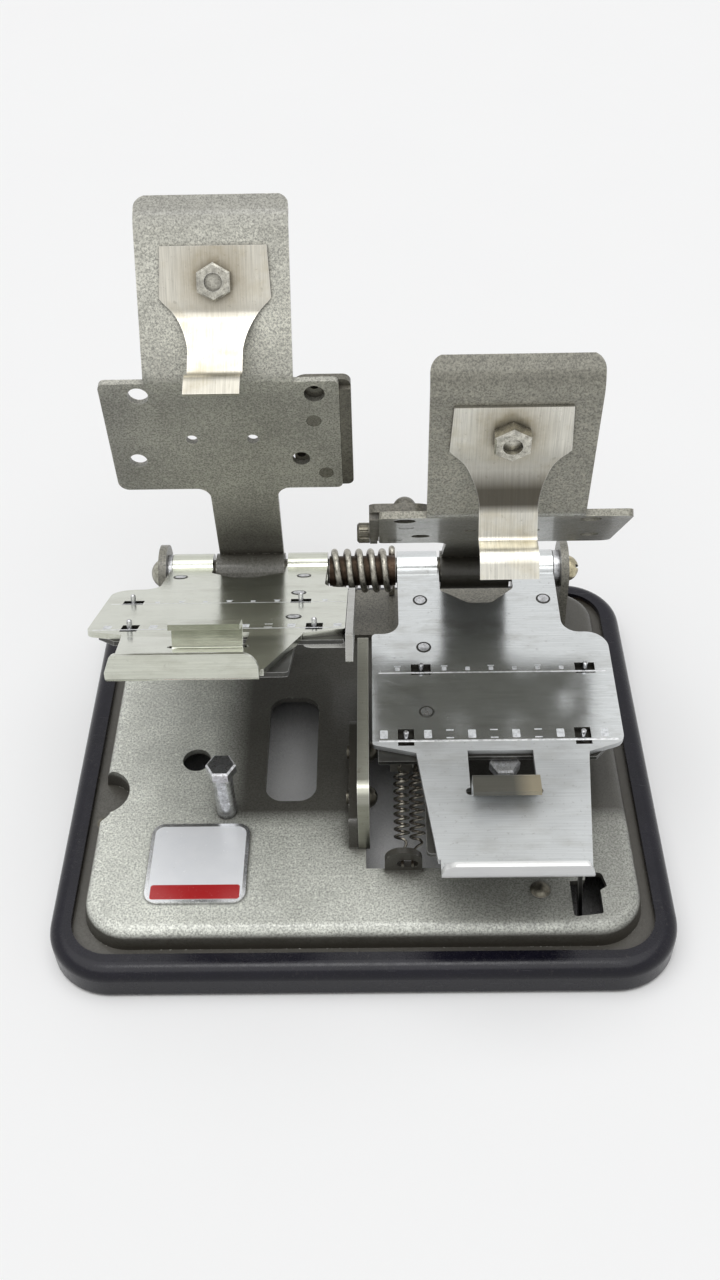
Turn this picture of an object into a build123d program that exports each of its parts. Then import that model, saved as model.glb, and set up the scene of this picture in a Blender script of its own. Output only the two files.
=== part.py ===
from build123d import *
import math
import os

# Cement splicer for 8 mm cine film.
# X runs along the hinge shaft, +Y towards the hinge, +Z up, and the bench is at Z = 0.
# The two film stages and their two gates are mirror images about the plane X = MID_X.
# Both are drawn as right-hand pieces that lie flat, in hinge coordinates: X is the distance
# from the mirror plane, Y minus the distance from the shaft and Z the height above its axis.
# place() mirrors a piece, tilts it about the shaft and sets it over the base.

# ---------------------------------------------------------------- driving dimensions (mm)
SHEET = 1.2                            # painted sheet steel
BASE_W, BASE_D = 106.6, 94.4           # outside of the rubber rim
RIM_R, RIM_H, RIM_W = 11.0, 7.0, 3.9
DECK_Z, DECK_W, DECK_D, DECK_R = 10.0, 95.4, 84.0, 8.5
FLANGE_Z, FLANGE_GRIP = 4.6, 2.5       # flange underside, and its depth in the rim

MID_X = 0.3
SHAFT_Y, SHAFT_Z, SHAFT_D = 33.1, 23.2, 5.0
FIT = 0.04                             # radial clearance of a bore on its shaft
KNUCKLE_R = 3.75
LEFT_STAGE_TILT, LEFT_GATE_TILT, RIGHT_GATE_TILT = 28.0, 82.3, 49.4

STAGE_TOP, PLATE_T, PIN_PLATE_T = 1.8, 1.0, 0.8
# film rows: distance from the shaft, first pin from the mirror plane, spacing, window size
SUPER_ROW = (29.1, 10.6, 7 * 4.234, 3.6, 2.6)
REGULAR_ROW = (45.3, 7.55, 8 * 3.81, 2.8, 3.8)
PIN_D, PIN_H = 0.9, 1.5
WING_OUT, WING_REAR, WING_FRONT = 45.3, 19.8, 46.6
RIGHT_WING_IN, LEFT_WING_IN = 1.75, 2.45
APRON_REAR, APRON_BEND, APRON_RISE = 48.8, 50.5, 3.5    # the apron is bent up by a few degrees
APRON_FRONT, RIGHT_APRON_IN, LEFT_APRON_IN = 72.0, 12.0, 13.7
FINGER_FACE, FINGER_TOP, FINGER_OUT = 75.6, 5.2, 36.1   # finger lip, turned up from the apron
UNDER_IN, UNDER_OUT, UNDER_FRONT = 10.3, 35.5, 70.0
LAP = 0.05                             # overlap of two joined pieces of one plate
TAIL_IN, TAIL_OUT = 6.8, 37.2
NOTCH_IN, NOTCH_OUT, NOTCH_DEPTH = 14.9, 29.0, 11.6
SLOT_U, SLOT_W, SLOT_REAR, SLOT_FRONT = 23.55, 11.2, 48.4, 57.6
TONGUE_W, TONGUE_H, TONGUE_T, TONGUE_LIP = 11.0, 4.5, 0.9, 3.85
STAGE_RIVETS = ((11.0, 10.7), (34.5, 10.7), (11.3, 23.4), (11.3, 39.4))

GATE_GAP = 0.25                        # between the film surface and the closed gate
GATE_IN, GATE_OUT, GATE_REAR, GATE_FRONT = 3.3, 44.9, 21.6, 47.3
GATE_HOLES = ((SUPER_ROW[1], 29.1, 1.6), (SUPER_ROW[1] + SUPER_ROW[2], 29.1, 1.6),
              (REGULAR_ROW[1], 44.5, 1.8), (REGULAR_ROW[1] + REGULAR_ROW[2], 44.5, 1.8),
              (19.0, 34.1, 1.05), (29.9, 34.1, 1.05))      # over the pins, and two small ones
NECK_IN, NECK_OUT, CURL_IN, CURL_OUT = 15.5, 28.1, 15.25, 28.65
HANDLE_IN, HANDLE_OUT, HANDLE_L, HANDLE_ANGLE = 11.05, 36.7, 26.6, 35.5
BEND_AT, LIP_L, LIP_ANGLE, LIP_R = 47.8, 4.2, 80.0, 2.6
LEAF_U, LEAF_T, LEAF_LEG_W = 23.55, 0.5, 9.2
LEAF_TOP_W, LEAF_SHOULDER_W, WAIST_L = 17.8, 18.7, 8.2
LEFT_NUT_AT, RIGHT_NUT_AT = 16.1, 17.2                  # the leaf is set from its nut
LEAF_TOP, LEAF_SHOULDER, LEAF_BEND = 5.8, -2.7, -5.5
LEAF_HOOK = ((52.7, -2.6), (55.4, -5.1), (54.5, -9.0))  # (distance from shaft, height)
NUT_AF, NUT_H, SCREW_D = 5.5, 2.2, 3.0
EDGE_T, LEFT_EDGE_IN, RIGHT_EDGE_IN, EDGE_OUT = 1.4, 1.25, 1.7, 11.8
EDGE_RIVETS = ((7.9, 38.2), (6.2, 25.4))
BOSS_R, BOSS_H = 1.9, 1.5
TRIM_SCREW_DIST, TRIM_SCREW_N, TRIM_SCREW_D = 22.0, 3.95, 3.7

STOP_U, STOP_DIST, STOP_AF, STOP_HEAD_H, STOP_SHANK_D = 24.4, 49.3, 4.6, 2.0, 3.5
STOP_TOP_Z = SHAFT_Z + STAGE_TOP - PLATE_T - PIN_PLATE_T - 0.15
BLADE_X, BLADE_T, BLADE_REAR_Y, BLADE_FRONT_Y = -0.6, 2.0, 13.0, -24.7
RAIL_TOP_Z, RAIL_REAR_Y, RAIL_X, RAIL_T = 17.4, -0.4, -2.2, 1.5
EAR_R, EAR_T, LEFT_EAR_X, RIGHT_EAR_X = 5.6, 1.5, -39.4, 38.9
COIL_R, COIL_WIRE, COIL_TURNS, COIL_PITCH, COIL_START_X = 3.75, 1.3, 5, 2.3, -5.35
COIL_END_R = 1.1                       # turn from the coil into its right leg
SPRING_R, SPRING_WIRE, SPRING_TURNS, SPRING_PITCH = 1.2, 0.5, 9, 1.28
SPRING_LOW, SPRING_HIGH = (-26.2, 13.4), (-15.1, 20.9)   # (Y, Z) on the inner coil's axis
SPRING_X, SPRING_HOLE_X, SPRING_DROP = (6.9, 9.6), (6.9, 8.6), (0, 1.8)
LUG_Y, LUG_T, LUG_HOLE_Z, ANCHOR_Y = -28.4, 1.2, 12.4, -13.4
SIDE_SCREW = (-46.7, -15.9)
BRACKET_RIVETS = ((-30.0, 34.0), (-12.0, 34.0), (12.6, 34.0), (30.6, 34.0))
KNIFE_IN, KNIFE_T, KNIFE_DEPTH = 1.15, 1.2, 4.8
KNIFE_RIVETS, KNIFE_RIVET_U = (27.0, 44.0), 5.9

GATE_N = STAGE_TOP + GATE_GAP          # underside of the closed gate above the shaft axis
DECK_UNDER = DECK_Z - SHEET
PIN_PLATE_UNDER = STAGE_TOP - PLATE_T - PIN_PLATE_T
KNIFE_SEAT = PIN_PLATE_UNDER - 0.02

os.makedirs("parts", exist_ok=True)


# ---------------------------------------------------------------- helpers
def put(name, shape):
    export_step(shape, f"parts/{name}.step")


def group(solids):
    return Compound(children=list(solids))


def place(shape, side, tilt=0.0):
    """A flat right-hand piece, mirrored for side -1, tilted about the shaft and set in place."""
    if side < 0:
        shape = mirror(shape, about=Plane.YZ)
    return Pos(MID_X, SHAFT_Y, SHAFT_Z) * Rot(-tilt, 0, 0) * shape


def plan(points, corners=()):
    """A plan outline; corners lists (index of the point, radius)."""
    face = make_face(Polyline(*points, close=True))
    for index, radius in corners:
        face = fillet(face.vertices().sort_by_distance(points[index])[0], radius)
    return face


def prism(face, bottom, top):
    return extrude(Pos(0, 0, bottom) * face, top - bottom)


def rounded_block(width, depth, radius, bottom, top):
    return prism(RectangleRounded(width, depth, radius), bottom, top)


def side_prism(points, x_from, x_to, corners=()):
    """An outline in the Y-Z plane, extruded along X."""
    plane = Plane(origin=(x_from, 0, 0), x_dir=(0, 1, 0), z_dir=(1, 0, 0))
    return extrude(plane * plan(points, corners), x_to - x_from)


def mitred(points, shift):
    """The points of a line moved sideways by shift, mitred at its corners."""
    moved = []
    for i, point in enumerate(points):
        runs = []
        if i:
            runs.append(Vector(*point) - Vector(*points[i - 1]))
        if i < len(points) - 1:
            runs.append(Vector(*points[i + 1]) - Vector(*point))
        normals = [Vector(-run.Y, run.X).normalized() for run in runs]
        middle = sum(normals, Vector(0, 0)).normalized()
        moved.append(Vector(*point) + middle * (shift / middle.dot(normals[0])))
    return moved


def bent_sheet(points, thickness, inner_radii, u_from, u_to):
    """Bent sheet: a centre line of (distance from shaft, height), thickened, extruded in X."""
    line = [(-dist, height) for dist, height in points]
    turns = [(b[0] - a[0]) * (c[1] - b[1]) - (b[1] - a[1]) * (c[0] - b[0])
             for a, b, c in zip(line, line[1:], line[2:])]
    sides = []
    for sign in (1, -1):
        radii = [radius + (0 if turn * sign > 0 else thickness)
                 for radius, turn in zip(inner_radii, turns)]
        sides.append(FilletPolyline(*mitred(line, sign * thickness / 2), radius=radii))
    left, right = sides
    face = make_face([left, right, Line(left @ 0, right @ 0), Line(left @ 1, right @ 1)])
    plane = Plane(origin=(u_from, 0, 0), x_dir=(0, 1, 0), z_dir=(1, 0, 0))
    return extrude(plane * face, u_to - u_from)


def rod_x(radius, x_from, x_to, y=0.0, z=0.0):
    return Pos((x_from + x_to) / 2, y, z) * Rot(0, 90, 0) * Cylinder(radius, x_to - x_from)


def rod_z(radius, bottom, top, x=0.0, y=0.0):
    return Pos(x, y, (bottom + top) / 2) * Cylinder(radius, top - bottom)


def dome(radius, height):
    """A round screw or rivet head standing on Z = 0."""
    ball = (radius ** 2 + height ** 2) / (2 * height)
    return Pos(0, 0, height - ball) * Sphere(ball) & rod_z(radius, 0, height)


def hexagon(across_flats, bottom, top):
    block = prism(RegularPolygon(across_flats / 2, 6, major_radius=False), bottom, top)
    return chamfer(block.edges().group_by(Axis.Z)[-1], 0.3)


def handle_point(along, inward):
    """A point by its distance along the gate's handle and inward from its inner face."""
    angle = math.radians(HANDLE_ANGLE)
    start = BEND_AT + SHEET / 2 * math.tan(angle / 2)
    return (start + along * math.cos(angle) + inward * math.sin(angle),
            GATE_N + along * math.sin(angle) - inward * math.cos(angle))


def on_handle(shape, along, inward=0.0):
    """Turn a piece drawn with +Z towards the handle's inner side and set it on the handle."""
    dist, height = handle_point(along, inward)
    return Pos(LEAF_U, -dist, height) * Rot(180 - HANDLE_ANGLE, 0, 0) * shape


def nut_at(side, offset=0.0):
    """Distance along the handle, measured from that gate's nut."""
    return (RIGHT_NUT_AT if side > 0 else LEFT_NUT_AT) + offset


def raised(shape):
    """Turn the apron's part of a stage up about its bend line."""
    seat = STAGE_TOP - PLATE_T
    return Pos(0, -APRON_BEND, seat) * Rot(-APRON_RISE, 0, 0) * Pos(0, APRON_BEND, -seat) * shape


def row_pins(row):
    dist, first, spacing = row[:3]
    return [(first, dist), (first + spacing, dist)]


# ---------------------------------------------------------------- wire forms
def arc(start, tangent, end):
    """The arc from start to end that leaves start along the tangent."""
    chord = end - start
    along = chord.normalized()
    across = tangent - along * tangent.dot(along)
    if across.length < 1e-6:
        return Line(start, end)
    angle = math.acos(max(-1.0, min(1.0, tangent.dot(along))))
    middle = start + chord * 0.5 + across.normalized() * (chord.length / 2 * math.tan(angle / 2))
    return ThreePointArc(start, middle, end)


def biarc(start, start_tangent, end, end_tangent):
    """Two arcs, tangent to each other, between two points with given tangents."""
    chord, both = end - start, start_tangent + end_tangent
    spread = 2 * (1 - start_tangent.dot(end_tangent))
    if spread < 1e-9:
        if abs(start_tangent.dot(chord.normalized())) > 1 - 1e-9:
            return [Line(start, end)]
        reach = chord.dot(chord) / (4 * chord.dot(end_tangent))
    else:
        lean = chord.dot(both)
        reach = (math.sqrt(lean ** 2 + spread * chord.dot(chord)) - lean) / spread
    joint = (start + end + (start_tangent - end_tangent) * reach) * 0.5
    tail = arc(end, end_tangent * -1, joint)
    return [arc(start, start_tangent, joint), tail]


def wire_form(knots, diameter, sides=0):
    """One unbroken tube through knots of (point, tangent)."""
    knots = [(Vector(*p), Vector(*t).normalized()) for p, t in knots]
    edges = []
    for (p, t), (q, s) in zip(knots, knots[1:]):
        edges += biarc(p, t, q, s)
    path = Wire(edges)
    start, tangent = knots[0]
    section = RegularPolygon(diameter / 2, sides) if sides else Circle(diameter / 2)
    return sweep(Plane(origin=start, z_dir=tangent) * section, path=path)


def helix_knots(origin, axis, across, radius, pitch, turns, per_turn=2):
    """Knots of a helix about an axis; across points from the axis to its first point."""
    origin, axis, across = Vector(*origin), Vector(*axis).normalized(), Vector(*across)
    across = (across - axis * across.dot(axis)).normalized()
    third = axis.cross(across)
    knots = []
    for i in range(int(turns * per_turn) + 1):
        angle = 2 * math.pi * i / per_turn
        spoke = across * math.cos(angle) + third * math.sin(angle)
        forward = third * math.cos(angle) - across * math.sin(angle)
        point = origin + axis * (pitch * i / per_turn) + spoke * radius
        tangent = forward * (2 * math.pi * radius) + axis * pitch
        knots.append((tuple(point), tuple(tangent)))
    return knots


def print_gap(name, radius, pitch, turns, wire):
    """Least distance between points of a helix half a turn or more apart, less the wire."""
    steps = 48
    points = [(radius * math.cos(2 * math.pi * i / steps),
               radius * math.sin(2 * math.pi * i / steps), pitch * i / steps)
              for i in range(int(turns * steps) + 1)]
    least = min(math.dist(a, b) for i, a in enumerate(points) for b in points[i + steps // 2:])
    print(f"{name}: least gap to itself {least - wire:.2f} mm")


# ---------------------------------------------------------------- base
def deck_cutouts():
    """Holes pressed through the deck, as solids that pass right through it."""
    through = (DECK_UNDER - 2, DECK_Z + 2)
    spring_well = prism(plan([(0.7, -28.8), (14.5, -28.8), (14.5, -3.2), (0.7, -3.2)],
                             [(1, 1.5), (2, 1.5), (3, 1.5)]), *through)
    light_slot = prism(Pos(-12.9, -1.4) * RectangleRounded(9.2, 25.2, 3.2), *through)
    catch_hole = prism(plan([(35.2, -38.8), (40.2, -38.2), (40.2, -33.6), (41.4, -32.8),
                             (40.8, -30.2), (38.2, -29.8), (37.8, -31.6), (35.2, -31.8)],
                            [(0, 0.5), (1, 0.5), (4, 0.8)]), *through)
    holes = [spring_well, light_slot, catch_hole, rod_z(2.6, *through, -30.6, -4.2)]
    for side in (-1, 1):
        x, y = MID_X + side * STOP_U, SHAFT_Y - STOP_DIST
        holes.append(rod_z(STOP_SHANK_D / 2 + FIT, *through, x, y))
    return holes


def deck_shell(inset):
    """The raised deck, drawn in by inset on every face, with its dimple left out of it."""
    top = DECK_Z - inset
    foot = Pos(0, 0, FLANGE_Z) * RectangleRounded(DECK_W - 2 * inset, DECK_D - 2 * inset,
                                                  DECK_R - inset)
    block = extrude(foot, top - FLANGE_Z, taper=9)
    block = fillet(block.edges().group_by(Axis.Z)[-1], 2.2 - inset * 0.7)
    floor = FLANGE_Z + (SHEET if not inset else -1)
    dimple = rod_z(5.1 + inset, floor, top + 1, -47.3, -11.5)
    return block - dimple - rod_z(1.6 + inset, floor, top + 1, *SIDE_SCREW)


def spring_lug():
    """A lug bent up at the front of the spring well, with a slot for the springs' hooks."""
    x, half, top = 7.1, 3.2, 15.4
    tab = extrude(plan([(-half, DECK_UNDER), (half, DECK_UNDER), (half, top), (-half, top)],
                       [(2, 2.7), (3, 2.7)]), LUG_T / 2, both=True)
    slot = extrude(Pos(0.65, LUG_HOLE_Z) * SlotOverall(3.6, 1.8), 3, both=True)
    return Pos(x, LUG_Y - LUG_T / 2, 0) * Rot(90, 0, 0) * (tab - slot)


def base_pan():
    flange = rounded_block(BASE_W - 2 * (RIM_W - FLANGE_GRIP), BASE_D - 2 * (RIM_W - FLANGE_GRIP),
                           RIM_R - RIM_W + FLANGE_GRIP, FLANGE_Z, FLANGE_Z + SHEET)
    pan = flange + deck_shell(0) - Pos(0, 0, -0.01) * deck_shell(SHEET)
    for hole in deck_cutouts():
        pan -= hole
    rail = side_prism([(RAIL_REAR_Y, DECK_UNDER), (BLADE_FRONT_Y, DECK_UNDER),
                       (BLADE_FRONT_Y, RAIL_TOP_Z), (RAIL_REAR_Y, RAIL_TOP_Z)],
                      RAIL_X, RAIL_X + RAIL_T, [(2, 1.2), (3, 2.0)])
    for y in (-6.0, -16.4):
        rail -= rod_x(1.3 + FIT, RAIL_X - 1, 1, y, 14.0)
    pan += rail
    return pan + spring_lug()


def rubber_rim():
    rim = rounded_block(BASE_W, BASE_D, RIM_R, 0, RIM_H)
    rim = fillet(rim.edges().group_by(Axis.Z)[-1], 2.4)
    rim = fillet(rim.edges().group_by(Axis.Z)[0], 1.0)
    inner_w, inner_d, inner_r = BASE_W - 2 * RIM_W, BASE_D - 2 * RIM_W, RIM_R - RIM_W
    rim -= rounded_block(inner_w, inner_d, inner_r, -1, RIM_H + 1)
    grip = FLANGE_GRIP + 0.05
    return rim - rounded_block(inner_w + 2 * grip, inner_d + 2 * grip, inner_r + grip,
                               FLANGE_Z - 0.03, FLANGE_Z + SHEET + 0.03)


def rear_bracket():
    """A channel riveted to the deck, whose two ears carry the hinge shaft."""
    width = RIGHT_EAR_X + EAR_T - LEFT_EAR_X
    floor = Pos((LEFT_EAR_X + RIGHT_EAR_X + EAR_T) / 2, 33.8, DECK_Z + 0.03) * \
        extrude(RectangleRounded(width, 13.4, 0.8), SHEET)
    bracket = floor
    foot = DECK_Z + 0.03
    for x in (LEFT_EAR_X, RIGHT_EAR_X):
        web = side_prism([(26.2, foot), (41.0, foot), (SHAFT_Y + EAR_R, SHAFT_Z),
                          (SHAFT_Y - EAR_R, SHAFT_Z)], x, x + EAR_T, [(0, 1.0), (1, 1.0)])
        bracket += web + rod_x(EAR_R, x, x + EAR_T, SHAFT_Y, SHAFT_Z)
        bracket -= rod_x(SHAFT_D / 2 + 0.02, x - 1, x + EAR_T + 1, SHAFT_Y, SHAFT_Z)
    for x, y in BRACKET_RIVETS:
        bracket -= rod_z(1.6, DECK_Z - 1, DECK_Z + 3, x, y)
    return bracket


def bracket_rivets():
    top = DECK_Z + 0.05 + SHEET
    rivets = []
    for x, y in BRACKET_RIVETS:
        rivets.append(Pos(x, y, top) * dome(2.4, 1.2) + rod_z(1.56, DECK_Z + 0.02, top, x, y))
    return group(rivets)


def hinge_shaft():
    head_x = LEFT_EAR_X - 0.03
    shaft = rod_x(SHAFT_D / 2, head_x, RIGHT_EAR_X + EAR_T, SHAFT_Y, SHAFT_Z)
    shaft += Pos(head_x, SHAFT_Y, SHAFT_Z) * Rot(0, -90, 0) * dome(2.9, 2.1)
    return shaft - rod_x(1.3, RIGHT_EAR_X + EAR_T - 7, RIGHT_EAR_X + EAR_T + 1, SHAFT_Y, SHAFT_Z)


def shaft_end_screw():
    face = RIGHT_EAR_X + EAR_T + 0.03
    head = Pos(face, SHAFT_Y, SHAFT_Z) * Rot(0, 90, 0) * dome(2.6, 2.5)
    slot = Pos(face + 2.5, SHAFT_Y, SHAFT_Z) * Rot(35, 0, 0) * Box(1.6, 0.7, 8)
    return head - slot + rod_x(1.26, face - 6, face, SHAFT_Y, SHAFT_Z)


def hinge_washers():
    rings = []
    for x_from, x_to in ((-37.85, -37.05), (37.7, 38.85)):
        rings.append(rod_x(3.6, x_from, x_to, SHAFT_Y, SHAFT_Z)
                     - rod_x(SHAFT_D / 2 + FIT, x_from - 1, x_to + 1, SHAFT_Y, SHAFT_Z))
    return group(rings)


def spacer_sleeve():
    tube = rod_x(2.95, -6.2, 6.8, SHAFT_Y, SHAFT_Z)
    return tube - rod_x(SHAFT_D / 2 + FIT, -7, 8, SHAFT_Y, SHAFT_Z)


def torsion_spring():
    """Open coil round the sleeve; both legs run down behind the shaft to the bracket."""
    knots = helix_knots((COIL_START_X, SHAFT_Y, SHAFT_Z), (1, 0, 0), (0, 1, 0),
                        COIL_R, COIL_PITCH, COIL_TURNS)
    low = DECK_Z + 0.03 + SHEET + 0.3
    first, last = knots[0][0], knots[-1][0]
    leg_y = last[1] + 2 * COIL_END_R
    start = [((first[0], first[1], low), (0, 0, 1)), (first, (0, 0, 1))]
    end = [(last, (0, 0, 1)), ((last[0], leg_y, last[2]), (0, 0, -1)),
           ((last[0], leg_y, low), (0, 0, -1))]
    return wire_form(start + knots[1:-1] + end, COIL_WIRE)


def stop_bolt(side):
    """Hex bolt that carries a lowered stage and that the gate's latch leaf hooks under."""
    x, y = MID_X + side * STOP_U, SHAFT_Y - STOP_DIST
    head = Pos(x, y, STOP_TOP_Z - STOP_HEAD_H) * hexagon(STOP_AF, 0, STOP_HEAD_H)
    return head + rod_z(STOP_SHANK_D / 2, 5.6, STOP_TOP_Z - STOP_HEAD_H, x, y)


def stop_bolt_nuts():
    nuts = []
    for side in (-1, 1):
        x, y = MID_X + side * STOP_U, SHAFT_Y - STOP_DIST
        nut = hexagon(NUT_AF, DECK_UNDER - 0.05 - NUT_H, DECK_UNDER - 0.05)
        nuts.append(Pos(x, y, 0) * nut - rod_z(STOP_SHANK_D / 2 + FIT, 0, 12, x, y))
    return group(nuts)


def fixed_blade():
    """Lower shear blade, on edge, level with the film surface and screwed to the rail."""
    foot = DECK_Z + 0.05
    blade = side_prism([(BLADE_REAR_Y, foot), (BLADE_FRONT_Y, foot),
                        (BLADE_FRONT_Y, SHAFT_Z + STAGE_TOP), (BLADE_REAR_Y, SHAFT_Z + STAGE_TOP)],
                       BLADE_X, BLADE_X + BLADE_T, [(2, 3.2), (3, 1.0)])
    for y in (-6.0, -16.4):
        blade -= rod_x(1.3 + FIT, -2, 4, y, 14.0)
    return blade


def fixed_blade_screws():
    screws = []
    face = BLADE_X + BLADE_T + 0.03
    for y in (-6.0, -16.4):
        head = Pos(face, y, 14.0) * Rot(0, 90, 0) * dome(1.95, 1.4)
        head -= Pos(face + 1.4, y, 14.0) * Box(1.0, 0.6, 6)
        screws.append(head + rod_x(1.3, RAIL_X - 0.5, face, y, 14.0))
    return group(screws)


def extension_spring(index):
    """Coil from the lug of the deck to the anchor under the right stage, with hooked ends."""
    x, drop, hole_x = SPRING_X[index], SPRING_DROP[index], SPRING_HOLE_X[index]
    axis = (Vector(0, *SPRING_HIGH) - Vector(0, *SPRING_LOW)).normalized()
    down = Vector(0, axis.Z, -axis.Y)
    middle = (Vector(x, *SPRING_HIGH) + Vector(x, *SPRING_LOW)) * 0.5 + down * drop
    origin = middle - axis * (SPRING_PITCH * SPRING_TURNS / 2)
    coil = helix_knots(tuple(origin), tuple(axis), tuple(down), SPRING_R, SPRING_PITCH,
                       SPRING_TURNS)
    tip = 0.9
    lug_front = LUG_Y - LUG_T
    start = [((hole_x, lug_front - tip, LUG_HOLE_Z + tip), (0, 0, -1)),
             ((hole_x, lug_front, LUG_HOLE_Z), (0, 1, 0)),
             ((hole_x, LUG_Y, LUG_HOLE_Z), (0, 1, 0))]
    eye_z = anchor_eye_z(index)
    end = [((x, ANCHOR_Y - 0.5, eye_z), (0, 1, 0)),
           ((x, ANCHOR_Y + 0.9, eye_z), (0, 1, 0)),
           ((x, ANCHOR_Y + 0.9 + tip, eye_z - tip), (0, 0, -1))]
    return wire_form(start + coil + end, SPRING_WIRE, sides=6)


def anchor_eye_z(index):
    return SPRING_HIGH[1] - 0.4 - SPRING_DROP[index] * 0.7


def badge_plate():
    return Pos(-28.3, -27.5, DECK_Z + 0.02) * extrude(RectangleRounded(17.2, 16.4, 2.2), 0.5)


def base_screw():
    return Pos(30.1, -33.4, DECK_Z + 0.02) * dome(1.75, 0.9)


def side_screw():
    seat = FLANGE_Z + SHEET + 0.02
    return Pos(*SIDE_SCREW, seat) * (rod_z(1.3, 0, 0.7) - rod_z(0.6, 0.3, 1))


# ---------------------------------------------------------------- film stages
def stage_plate(side):
    wing_in, apron_in = (RIGHT_WING_IN, RIGHT_APRON_IN) if side > 0 else (LEFT_WING_IN, LEFT_APRON_IN)
    bottom = STAGE_TOP - PLATE_T
    rear = plan([(TAIL_IN, 0), (TAIL_IN, -WING_REAR), (wing_in, -WING_REAR),
                 (wing_in, -WING_FRONT - 0.3), (9.2, -APRON_REAR), (9.4, -APRON_BEND),
                 (38.5, -APRON_BEND), (38.7, -APRON_REAR), (WING_OUT - 0.3, -WING_FRONT),
                 (WING_OUT, -WING_REAR), (TAIL_OUT, -WING_REAR), (TAIL_OUT, 0)],
                [(1, 3.0), (2, 0.8), (3, 0.6), (8, 2.2), (9, 4.0), (10, 3.2)])
    apron = plan([(9.4, LAP - APRON_BEND), (apron_in, -APRON_FRONT), (apron_in + 0.4, -APRON_FRONT),
                  (apron_in + 0.4, 2 - FINGER_FACE), (FINGER_OUT, 2 - FINGER_FACE),
                  (38.5, LAP - APRON_BEND)])
    front = prism(apron, bottom, STAGE_TOP) + finger_lip(apron_in + 0.4)
    plate = prism(rear, bottom, STAGE_TOP) + raised(front)
    for u_from, u_to in ((TAIL_IN, NOTCH_IN - 0.3), (NOTCH_OUT + 0.3, TAIL_OUT)):
        plate += rod_x(KNUCKLE_R, u_from, u_to)
    plate -= prism(tail_notch(0), 0, 3)
    plate -= rod_x(SHAFT_D / 2 + FIT, 0, 50)
    plate -= slot_cut(0, 0)
    for sign in (-1, 1):
        plate -= rod_z(0.8, 0, 3, SLOT_U + sign * SLOT_W / 2, -SLOT_FRONT)
    plate += raised(latch_tongue())
    for row in (SUPER_ROW, REGULAR_ROW):
        for u, dist in row_pins(row):
            plate -= Pos(u, -dist, STAGE_TOP) * Box(row[3], row[4], 4)
    for u, dist in STAGE_RIVETS:
        plate -= rod_z(1.3 + FIT, 0, 3, u, -dist)
    return plate


def tail_notch(grow):
    """Opening between a stage's knuckles, which the gate's neck passes through."""
    left, right, deep = NOTCH_IN - grow, NOTCH_OUT + grow, -NOTCH_DEPTH - grow
    return plan([(left, 6), (left, -8 - grow), (20.2, deep), (24.6, deep),
                 (right, -7.6 - grow), (right, 6)], [(1, 1.2), (2, 2.0), (3, 2.0), (4, 1.2)])


def finger_lip(inner):
    """Lip turned up along the front of a stage, with its top corners rounded."""
    middle, face, lean = STAGE_TOP - PLATE_T / 2, FINGER_FACE - PLATE_T / 2, 0.6
    strip = bent_sheet([(FINGER_FACE - 3.5, middle), (face, middle), (face + lean, FINGER_TOP)],
                       PLATE_T, (0.9,), inner, FINGER_OUT)
    outline = plan([(inner, 0), (FINGER_OUT, 0), (FINGER_OUT, 2.5), (FINGER_OUT - 1, FINGER_TOP),
                    (inner, FINGER_TOP)], [(3, 0.8), (4, 2.6)])
    return strip & Rot(90, 0, 0) * extrude(outline, 90)


def slot_cut(wider, rearward):
    """Opening of the latch slot; the pin plate's is a little wider and starts further forward."""
    rear, front = SLOT_REAR - rearward, SLOT_FRONT + wider
    return Pos(SLOT_U, -(rear + front) / 2, 0) * Box(SLOT_W + 2 * wider, front - rear, 6)


def latch_tongue():
    """Tongue turned up at the front of the slot, with its lip turned forward."""
    middle, lip = STAGE_TOP - PLATE_T / 2, STAGE_TOP + TONGUE_H - TONGUE_T / 2
    body = SLOT_FRONT + TONGUE_T / 2
    return bent_sheet([(body + 1.2, middle), (body, middle), (body, lip),
                       (body + TONGUE_LIP, lip)],
                      TONGUE_T, (0.25, 0.25), SLOT_U - TONGUE_W / 2, SLOT_U + TONGUE_W / 2)


def catch_leg():
    """Leg that passes through the deck and stops the right stage's lift under it."""
    top, knee, hook, reach = 1.4, -11.5, DECK_UNDER - SHAFT_Z - 5.9, 1.2
    leg = side_prism([(-UNDER_FRONT, top), (1 - UNDER_FRONT, top), (2.4 - UNDER_FRONT, knee),
                      (2.4 - UNDER_FRONT, hook - 1), (-reach - UNDER_FRONT, hook - 1),
                      (-reach - UNDER_FRONT, hook), (1.2 - UNDER_FRONT, hook),
                      (1.2 - UNDER_FRONT, knee)], 0, 0.7)
    return Pos(UNDER_OUT - 0.9, 0, 0.2) * Rot(0, -5.5, 0) * leg


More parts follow.
